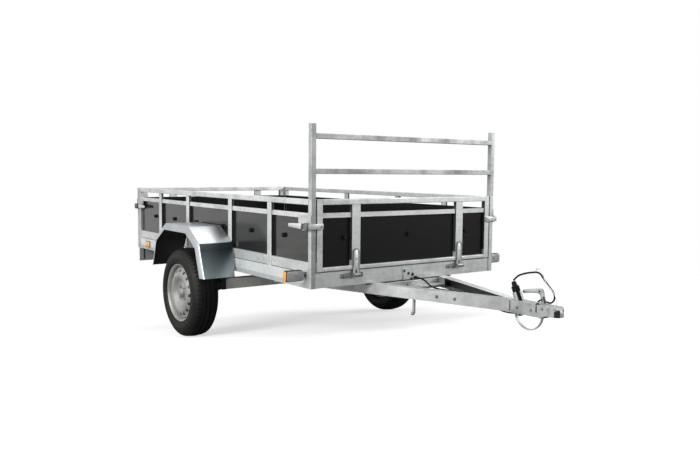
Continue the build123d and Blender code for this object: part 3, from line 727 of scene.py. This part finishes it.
def makeRim():
    disc = [(31, -53), (34, -53.5), (36, -47), (39, -45), (60, -44.5), (70, -46), (80, -53), (92, -66.5),
            (98, -71.5), (105, -74), (118, -74.4), (126, -73.4), (131, -70.5), (151, -56), (155, -54.5),
            (159.5, -53), (161, -49), (162, -42), (159.5, -42), (157, -49), (150, -52.5), (128, -67.5),
            (120, -70), (106, -69.5), (80, -46), (70, -40), (31, -39.5)]
    barrel = [(183.8, -68), (185, -71), (184.6, -74), (182.6, -75.6), (180.2, -75), (177.5, -72),
              (174.5, -68.4), (171.5, -64), (169.5, -56), (168.5, -46), (163, -41), (139, -30), (139, 18),
              (163, 44), (163, 66), (180, 70), (182, 72), (184, 70), (182, 66), (167, 64), (167, 40),
              (143, 14), (143, -26), (166, -37), (172.5, -45), (173.5, -56), (176, -64), (181, -65.5)]
    rim = lathe("rimDisc", disc + disc[:1], 96)
    drill = addRound("drill", (0, 0, 0), wheel["ventRadius"], 24, "y", 20, 0)
    drill = joinAll("drills", spacedRound(drill, wheel["vents"], ventPlace()))
    modify(rim, "BOOLEAN", object=drill, operation="DIFFERENCE")
    bpy.data.objects.remove(drill)
    rim = joinAll("rimMould", [rim, lathe("rimBarrel", barrel + barrel[:1], 96)])
    fitWheels(rim, "steelRim", "rim", 38, "rim")


def makeWheelNuts():
    nut = lathe("nut", [(0.01, -57), (6.5, -57), (8.2, -55.5), (9.4, -53), (9.4, -47), (12, -46), (12, -44),
                        (0.01, -44)], 6)
    nuts = spacedRound(nut, wheel["nuts"], turned(-180 / wheel["nuts"], "Y") @ shift(wheel["nutCircle"], 0,
                                                                                     0))
    cap = lathe("greaseCap", [(29.3, -46), (29.3, -57), (27.5, -60), (25, -61), (24, -64), (19, -66.5),
                              (10, -67.6), (0.01, -68)], 40)
    # a black disc inside the rim, painted shade behind the vents
    shadeDisc = lathe("shadeDisc", [(70, -36), (118, -52), (152, -53), (152, -40), (70, -24), (70, -36)], 48)
    valve = lathe("valve", [(0.01, -80), (2.6, -80), (3.2, -79), (3.2, -72), (4.6, -70), (5.4, -62),
                            (0.01, -62)], 16)
    valve.data.transform(shift(wheel["valveCircle"], 0, 0))
    back = lathe("ventShade", [(0.01, -0.2), (10.6, -0.2), (10.9, 3), (0.01, 3)], 20)  # painted shade: a black disc behind each vent
    holes = spacedRound(back, wheel["vents"], ventPlace())
    steel = paint(joinAll("nuts", nuts + [cap]), "zincDull")
    dark = paint(joinAll("darkParts", [valve, shadeDisc] + holes), "black")
    fitWheels(joinAll("wheelFixings", [steel, dark]), "wheelNuts", None, 38)


makeTyre()
makeRim()
makeWheelNuts()
print("wheels are made")


# mudguards: folded sheet, its outer edge folded down and leaning out, its underside painted dark as shade
guard = dict(points=[(408, 138), (336, 341), (177, 436)], inner=684.0, outer=905.0, lean=13.2, edge=41.0,
             taper=20.0, sheet=2.2, fold=7.0)


def makeGuards():
    half = [(x, axleHeight + z) for x, z in guard["points"]]
    line = half + [(-x, z) for x, z in reversed(half)]
    inset = []
    for i, (x, z) in enumerate(line):  # where the folded edge ends, square to each run
        runs = []
        for a, b in ((i - 1, i), (i, i + 1)):
            if a >= 0 and b < len(line):
                run = (Vector(line[b]) - Vector(line[a])).normalized()
                runs.append(Vector((run.y, -run.x)))
        if len(runs) == 1:
            inset.append(Vector((math.copysign(guard["edge"] / abs(runs[0].x), -x), 0)))
        else:
            inset.append(-(runs[0] + runs[1]) * guard["edge"] / (1 + runs[0].dot(runs[1])))
    sheet = traceLine("guard", [(x, -guard["inner"], z) for x, z in line])
    bpy.ops.mesh.select_all(action="SELECT")
    bpy.ops.mesh.extrude_edges_move(TRANSFORM_OT_translate={"value": (0, guard["inner"] - guard["outer"], 0)})
    bpy.ops.mesh.extrude_edges_move(TRANSFORM_OT_translate={"value": (0, -guard["lean"], 0)})
    leave()
    fold = bmesh.new()
    fold.from_mesh(sheet.data)
    for vertex in fold.verts:
        spot = Vector((vertex.co.x, vertex.co.z))
        near = min(range(len(line)), key=lambda k: (Vector(line[k]) - spot).length)
        if vertex.co.y < -guard["outer"] - 1:
            vertex.co.x += inset[near].x
            vertex.co.z += inset[near].y
        if vertex.co.y > -guard["inner"] - 1 and near in (0, len(line) - 1):
            vertex.co.y -= guard["taper"]
    fold.to_mesh(sheet.data)
    fold.free()
    roundEdges(sheet, guard["fold"], 3, 12)
    edit(sheet)
    closeUp()
    top = max(sheet.data.polygons, key=lambda face: face.center.z)
    if top.normal.z < 0:
        sheet.data.flip_normals()
    # the inner face takes the dark guardUnder look: painted shade under the guard
    for look in ("guardSheet", "guardUnder"):
        sheet.data.materials.append(looks[look])
    modify(sheet, "SOLIDIFY", thickness=guard["sheet"], offset=-1, material_offset=1, material_offset_rim=0)
    for piece, side in ((sheet, "right"), (copyOf(sheet, acrossY), "left")):
        piece.name = "guard_" + side
        settle(piece, "trailer", None, 30)
        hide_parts("mudguard_" + side)


makeGuards()
print("mudguards are folded")


# gate latches: strap round the corner, hinged lever over its barrel
latch = dict(low=762.0, high=792.0, strapInside=697.0, strapOutside=703.0, padInner=612.0, padOuter=646.0,
             face=boxFront + 6, neck=1142.0, tip=1029.0, tipHalf=10.0, leverRim=3.6, leverSunk=3.2,
             camX=1196.0, camRadius=21.0, camWidth=16.0)


def makeLatch():
    low, high, face, tip = latch["low"], latch["high"], latch["face"], latch["tip"]
    neck, half, pad = latch["neck"], latch["tipHalf"], -latch["padInner"]
    out, inside = -latch["strapOutside"], -latch["strapInside"]
    foot = addBlock("latchPad", (boxFront, -latch["padOuter"], low), (face + 0.5, pad, high), 1.2)
    strap = addBlock("latchStrap", (face, out, low), (face + 6, pad, high), 1.5)
    side = addBlock("latchSide", (neck + 14, out, low), (face + 3, inside, high), 1.2)
    outline = [(neck + 6, high - 1), (neck - 6, high), (tip + 4, latchHigh + half),
               (tip - 4, latchHigh + half - 2), (tip - 8, latchHigh + 4), (tip - 8, latchHigh - 4),
               (tip - 4, latchHigh - half + 2), (tip + 4, latchHigh - half), (neck - 6, low),
               (neck + 6, low + 1)]
    blade = cutPlate("latchLever", outline, "y", inside, out - inside)
    edit(blade)  # the lever is a pressed channel: rim round a sunk floor
    mesh = bmesh.from_edit_mesh(blade.data)
    for flat in mesh.faces:
        flat.select_set(flat.normal.y < -0.9)
    bmesh.update_edit_mesh(blade.data)
    bpy.ops.mesh.inset(thickness=latch["leverRim"])
    bpy.ops.transform.translate(value=(0, latch["leverSunk"], 0))
    leave()
    roundEdges(blade, 1.0)
    r, w = latch["camRadius"], latch["camWidth"] / 2
    rings = [(0.01, w), (r - 1.5, w), (r, w - 1.5), (r, 2.2 - w), (r - 1.2, 1 - w), (r - 3, 1 - w),
             (r - 4.5, 4 - w), (r - 9, 4 - w), (r - 10.5, 1 - w), (r - 13, 0.4 - w), (r - 14.5, -w),
             (4.5, -w), (4, 1.5 - w), (0.01, 1.5 - w)]
    cam = lathe("latchCam", rings, 40)
    cam.data.transform(shift(latch["camX"], (out + inside) / 2, latchHigh))
    bolt = addRound("latchBolt", (face + 7.5, pad - 12, latchHigh), 6.0, 3.4, "x", 6, 0.5)
    return joinAll("latchMould", [paint(foot, "zinc"), paint(strap, "zinc"), paint(side, "black"),
                                  paint(blade, "zincBright"), paint(cam, "zincAged"),
                                  paint(bolt, "zincDull")])


fitGates(makeLatch(), [same, acrossY], "_gate_latch", "_latches", None)


# hinge straps: a bright rib on a darker plate, forked down to its knuckle
hinge = dict(y=(-389.0, 389.0), x=boxFront, pinX=1230.0, pinZ=507.0, top=651.0, width=46.0, rib=27.0,
             ribTop=628.0, foot=512.0, aside=5.0)


def makeHinge():
    x, top, half, rib, foot = hinge["x"], hinge["top"], hinge["width"] / 2, hinge["rib"] / 2, hinge["foot"]
    crown = arc(half, 0, 180, 12, (0, top - half))
    plate = cutPlate("hingePlate", crown + [(-half, foot), (half, foot)], "x", x, 3)
    ribTop = arc(rib, 0, 180, 8, (0, hinge["ribTop"]))
    fork = [(-rib, 556), (-19, foot), (-19, 500), (-8, 500), (-3, 536), (4, 536), (8, 500), (19, 500),
            (19, foot), (rib, 556)]
    strap = cutPlate("hingeRib", ribTop + fork, "x", x + 3, 7)
    roundEdges(strap, 2)
    strap.data.transform(shift(0, -hinge["aside"], 0))
    barrel = [(6.05, -20), (9, -20), (10, -19), (10, -7.5), (8.5, -6.5), (8.5, 6.5), (10, 7.5), (10, 19),
              (9, 20), (6.05, 20), (6.05, -20)]
    knuckle = lathe("hingeKnuckle", barrel, 28)
    knuckle.data.transform(shift(hinge["pinX"], 0, hinge["pinZ"]))
    tongue = addBlock("hingeTongue", (x, -19.5, 503), (hinge["pinX"] - 2, 19.5, 514), 1)
    rivet = addRound("hingeRivet", (x + 11, -hinge["aside"], 595), 5.5, 3.2, "x", 6, 0.5)
    # the crest over the strap's upper end is dark aged zinc: painted shade at the strap's end
    crest = [(-17, 628), (-19, 640), (-12, 650), (-2, 652), (0, 645), (2, 652), (12, 650), (19, 640),
             (17, 628), (11, 636), (0, 639), (-11, 636)]
    cap = cutPlate("hingeCap", crest, "x", x + 1, 6)
    roundEdges(cap, 1)
    return joinAll("hingeMould", [paint(plate, "zincAged"), paint(strap, "zinc"),
                                  paint(knuckle, "zincDull"), paint(tongue, "zincDull"),
                                  paint(rivet, "zincDull"), paint(cap, "zincAged")])


fitGates(makeHinge(), [shift(0, y, 0) for y in hinge["y"]], "_gate_hinges", "_hinge_straps", None)


# net knobs: moulded hooks with a dished head, black
knob = dict(shares=(0.136, 0.277, 0.422, 0.582, 0.731, 0.882),  # of the box's length, from the rear
            gateY=(-455.0, 0.0, 455.0), radius=14.0, depth=14.0)


def makeKnobs():
    r, d = knob["radius"], knob["depth"]
    mould = lathe("knobMould", [(0.01, 0), (r, 0), (r, -3), (r - 3, -4.5), (r - 5, -6), (r - 5, -8.5),
                                (r - 1.5, -10), (r - 0.5, -12), (r - 2, 0.6 - d), (r - 6, 0.2 - d),
                                (r - 9, 1.2 - d), (0.01, 1.5 - d)], 28)
    sideX = [boxRear + share * (boxFront - boxRear) for share in knob["shares"]]
    right = joinAll("sideKnobs", [copyOf(mould, shift(x, -boardFace, knobHigh)) for x in sideX])
    piece = settle(bothSides("netKnobs_side", right), "trailer", "blackDull")
    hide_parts("side_net_knobs")
    places = [shift(gateBoardFace, y, knobHigh) @ turned(90, "Z") for y in knob["gateY"]]
    fitGates(mould, places, "_netKnobs", "_knobs", "blackDull")


makeKnobs()
print("latches and knobs are fitted")


# marker lamps: rubber arm, white lens to the front, red to the rear, amber cap on the end
marker = dict(x=1154.0, z=519.0, reach=120.0, height=58.0, lens=6.0)


def makeMarkers():
    x, z = marker["x"], marker["z"]
    out = boxHalf + marker["reach"]
    low, high = z - marker["height"] / 2, z + marker["height"] / 2
    side = [(-boxHalf, z - 8), (-boxHalf - 15, z - 10), (-boxHalf - 24, low), (8 - out, low),
            (3 - out, low + 4), (-out, low + 12), (-out, high - 12), (3 - out, high - 4), (8 - out, high),
            (-boxHalf - 24, high), (-boxHalf - 15, z + 10), (-boxHalf, z + 8)]
    arm = cutPlate("markerArm", side, "x", x - 17, 34)
    roundEdges(arm, 3, 2, 50)
    pieces = [paint(arm, "black")]
    inner = -boxHalf - 14
    glass = [(3 - out, low + 10), (3 - out, high - 10), (9 - out, high - 3), (inner - 8, high - 3),
             (inner, high - 14), (inner, low + 14), (inner - 8, low + 3), (9 - out, low + 3)]
    for name, look, start in (("whiteLens", "clear", x + 15), ("redLens", "red", x - 20)):
        lens = cutPlate(name, glass, "x", start, 5)
        roundEdges(lens, 1.6)
        pieces.append(paint(lens, look))
    cap = addBlock("amberCap", (x - 15, -out - marker["lens"], low + 5), (x + 15, 2 - out, high - 5), 4)
    pieces.append(paint(cap, "amber"))
    screw = lathe("lensScrew", [(0.01, -1.6), (2.4, -1.6), (3.4, -0.6), (3.4, 1), (0.01, 1)], 16)
    screw.data.transform(shift(x + 20.2, (inner - out) / 2 + 2, z) @ turned(90, "Z"))
    pieces.append(paint(screw, "black"))
    piece = settle(bothSides("markerLamps", joinAll("markerLamp", pieces)), "trailer", None)
    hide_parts("marker_arms", "marker_lenses")


makeMarkers()


# side reflectors and rear lamps
reflector = dict(x=(-1115.5, -1020.5), z=(468.0, 514.0), out=8.0)
rearLamp = dict(y=(442.0, 654.0), z=(350.0, 443.0), x=-1250.0, depth=40.0)


def makeReflectors():
    (lowX, highX), (lowZ, highZ), y = reflector["x"], reflector["z"], -boxHalf
    base = addBlock("reflectorBase", (lowX, y - 3, lowZ), (highX, y, highZ), 1.0)
    lens = addBlock("reflectorLens", (lowX + 3, y - reflector["out"], lowZ + 3),
                    (highX - 3, y - 2, highZ - 3), 2.2)
    right = joinAll("reflector", [paint(base, "housing"), paint(lens, "amber")])
    piece = settle(bothSides("sideReflectors", right), "trailer", None)
    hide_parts("side_reflectors")


def makeRearLamps():
    (inner, outer), (low, high), x = rearLamp["y"], rearLamp["z"], rearLamp["x"]
    pieces = [paint(addBlock("lampCase", (x - 24, -outer, low), (x, -inner, high), 5), "housing")]
    for look, start, end in (("amber", 5, 55), ("red", 56, 134), ("clear", 135, outer - inner - 5)):
        back, front = (x - rearLamp["depth"], start - outer, low + 5), (x - 22, end - outer, high - 5)
        pieces.append(paint(addBlock(look + "Zone", back, front, 4), look))
    piece = settle(bothSides("rearLamps", joinAll("rearLamp", pieces)), "trailer", None)
    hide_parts("rear_lamps")


makeReflectors()
makeRearLamps()
print("lamps and reflectors are on")


# black strips along the seams between sill and rail, painted shade under their step, and the liners in the
# rear corners
seam = dict(x=(-1218.0, 1170.0), z=530.0, out=6.0, shadeStrip=3.0, liner=(546.0, 844.0),
            gateLiner=((-1248.0, -648.0), (-1246.6, -598.0)))


def makeSeams():
    (low, high), y, z = seam["x"], seam["out"] - boxHalf, seam["z"]
    shadeStrip = addBlock("seamShadow", (low, y - 2.6, z - 0.5), (high, y + 0.5, z + seam["shadeStrip"]), 1.2)
    foot, top = seam["liner"]
    back, front = (boxRear + 37, -boxInner - 0.5, foot), (boxRear + 59, 2.5 - boxInner, top)
    liner = addBlock("cornerLiner", back, front, 0.8)
    right = joinAll("seamShadow", [paint(shadeStrip, "black"), paint(liner, "boardFront")])
    settle(bothSides("seamShadows", right), "trailer", None)
    (backX, outerY), (frontX, innerY) = seam["gateLiner"]
    edge = addBlock("gateLiner", (backX, outerY, foot), (frontX, innerY, top), 0.3)
    settle(bothSides("rearGateLiners", paint(edge, "boardInner")), "rear_gate", None)


makeSeams()


# coupling: pressed handle, its pins and spring, and the dark seams and clips of its body, with black patches
# beside the head as painted shade for its openings
coupling = dict(ballX=2255.0, head=33.2, handleHalf=5.5, window=(402.0, 439.0), windowFrom=24, windowTo=68,
                handle=[(2053, 497), (2058, 505), (2100, 513), (2148, 521), (2164, 523), (2175, 518),
                        (2181, 505), (2185, 487), (2192, 458), (2166, 454), (2163, 483), (2157, 493),
                        (2143, 498), (2101, 494), (2064, 486), (2054, 489)],
                pins=[(2158, 509, 5), (2064, 496, 4.5), (2173, 471, 6)],  # x, z and radius
                seams=[(33, 0.8, 2160, 2167, 412, 446), (39, 0.9, 2004, 2009, 395, 447)],  # y, half, x and z
                spring=[(2179, 487), (2187, 487), (2198, 456), (2189, 455)],
                hoopClip=[(2036, -13, 372), (2048, 13, 388)],
                hoopHook=[(2152, 396), (2160, 383), (2171, 381), (2178, 388), (2203, 388), (2207, 397)])


def makeCoupling():
    grip = coupling["handleHalf"]
    handle = cutPlate("handle", coupling["handle"], "y", -grip, 2 * grip)
    roundEdges(handle, 2.2)
    darks = [cutPlate("handleSpring", coupling["spring"], "y", -grip - 2.5, 5)]
    for x, z, radius in coupling["pins"]:
        darks.append(addRound("handlePin", (x, 0, z), radius, 2 * grip + 3, "y", 20, 0.8))
    piece = joinAll("couplingHandle", [paint(handle, "zincCast"), paint(joinAll("pins", darks), "black")])
    settle(piece, "trailer", None)
    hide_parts("coupling_handle")
    low, high = coupling["window"]
    head, centre = coupling["head"], (coupling["ballX"], 0)
    slots = []
    for side in (-1, 1):
        for y, half, back, front, foot, top in coupling["seams"]:
            near, far = (back, side * y - half, foot), (front, side * y + half, top)
            slots.append(addBlock("seamSlot", near, far, 0.5))
        start, end = side * coupling["windowFrom"], side * coupling["windowTo"]  # an opening beside the head, drawn as a thin black arc on it: painted shade
        rim = arc(head, start, end, 11, centre) + arc(head + 1.1, end, start, 11, centre)
        slots.append(cutPlate("headWindow", rim, "z", low, high - low))
    slots.append(addBlock("hoopClip", *coupling["hoopClip"], 3))
    front = cutPlate("hoopHook", coupling["hoopHook"], "y", -16, 32)
    roundEdges(front, 2)
    settle(joinAll("couplingDarks", slots + [front]), "trailer", "black")


makeCoupling()


# cable hook under the right leg
hook = dict(x=1461.0, half=6.5, top=395.0, low=299.0)


def makeHook():
    x, w, low = hook["x"], hook["half"], hook["low"]
    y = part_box("hook_rod")[0][1] * 1000 + 5
    line = [(y - w, hook["top"]), (y - w, low + 24), (y - 12, low + 16), (y - 19, low + 10),
            (y - 19, low + 3), (y - 12, low), (y - 1, low + 3), (y + w, low + 12), (y + w, hook["top"])]
    bar = cutPlate("hookBar", line, "x", x - w, 2 * w)
    roundEdges(bar, 2.5, 2, 20)
    settle(bar, "trailer", "zincDull")
    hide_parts("hook_rod")


makeHook()
print("the coupling is fitted out")


# the plate under the front cross member, between the drawbar legs
footPlate = dict(x=1215.0, sheet=4.5, half=262.0, z=(384.0, 443.0), lip=4.0, corner=14.0,
                 notch=(46.0, 60.0), notchDeep=8.0)


def makeFootPlate():
    x, half, sheet = footPlate["x"], footPlate["half"], footPlate["sheet"]
    low, high = footPlate["z"]
    corner, (inner, outer) = footPlate["corner"], footPlate["notch"]
    right = [(half, high), (half, low + corner), (half - corner, low), (outer, low),
             (inner, low + footPlate["notchDeep"])]
    plate = cutPlate("footPlate", right + [(-y, z) for y, z in reversed(right)], "x", x, sheet)
    roundEdges(plate, 1.0)
    front = x + sheet + footPlate["lip"]
    lip = addBlock("footLip", (x, 4 - half, high - 5), (front, half - 4, high - 1), 1.2)
    # a black strip between the plate and the cross member: painted shadow
    shadow = addBlock("footShadow", (x, -half - 60, high - 0.5), (x + sheet + 1, half + 60, high + 6.5), 0.5)
    pieces = [paint(plate, "zincCast"), paint(lip, "zincBright"), paint(shadow, "black")]
    settle(joinAll("footPlate", pieces), "trailer", None)


makeFootPlate()


# bolts, modelled once and set in a table of places
# each has its centre, the way its head faces and its radius; those in pairs are given on the right side
bolts = dict(
    pairs=[((1612, -157, 419), (0.3048, -0.9524, 0), 7.5), ((1712, -125, 418), (0.3048, -0.9524, 0), 7.5),
           ((2050, -37, 418), (0.05, -1, 0), 6), ((2132, -33, 417), (0, -1, 0), 5)],
    single=[((2197, -33, 434), (0, -1, 0), 6.5), ((2232, -33, 435), (0, -1, 0), 5),
            ((1215, -466, 498), (1, 0, 0), 8), ((1215, -422, 497), (1, 0, 0), 7),
            ((1215, 314, 502), (1, 0, 0), 8), ((1215, 357, 497), (1, 0, 0), 7)],
    dark=[((1216, -9, 484), (1, 0, 0), 7), ((1216, 22, 476), (1, 0, 0), 8),
          ((1216, -40, 499), (1, 0, 0), 5.5), ((1217, -17, 437), (1, 0, 0), 7),
          ((1217, 12, 452), (1, 0, 0), 6), ((1219, -20, 413), (1, 0, 0), 7),
          ((1219, 33, 408), (1, 0, 0), 7), ((2163, -22, 449), (0, 0, 1), 9)])


def makeBolts():
    head = lathe("boltHead", [(0.01, -0.74), (0.55, -0.74), (0.78, -0.66), (0.84, -0.5), (0.84, -0.16),
                              (1.2, -0.15), (1.25, -0.05), (1.25, 0.02), (0.01, 0.02)], 6)
    washer = lathe("washer", [(0.01, -0.16), (1.2, -0.16), (1.28, -0.08), (1.28, 0.02), (0.01, 0.02)], 24)
    mould = joinAll("boltMould", [head, washer])
    pieces = []
    pairs = bolts["pairs"]
    mirrored = [((x, -y, z), (ahead, -out, up), radius) for (x, y, z), (ahead, out, up), radius in pairs]
    for table, look in ((pairs + mirrored + bolts["single"], "zincAged"), (bolts["dark"], "black")):
        for centre, way, radius in table:
            turn = Vector((0, -1, 0)).rotation_difference(Vector(way).normalized()).to_matrix().to_4x4()
            pieces.append(paint(copyOf(mould, shift(*centre) @ turn @ Matrix.Scale(radius, 4)), look))
    bpy.data.objects.remove(mould)
    settle(joinAll("frameBolts", pieces), "trailer", None)


makeBolts()
print("bolts are in")
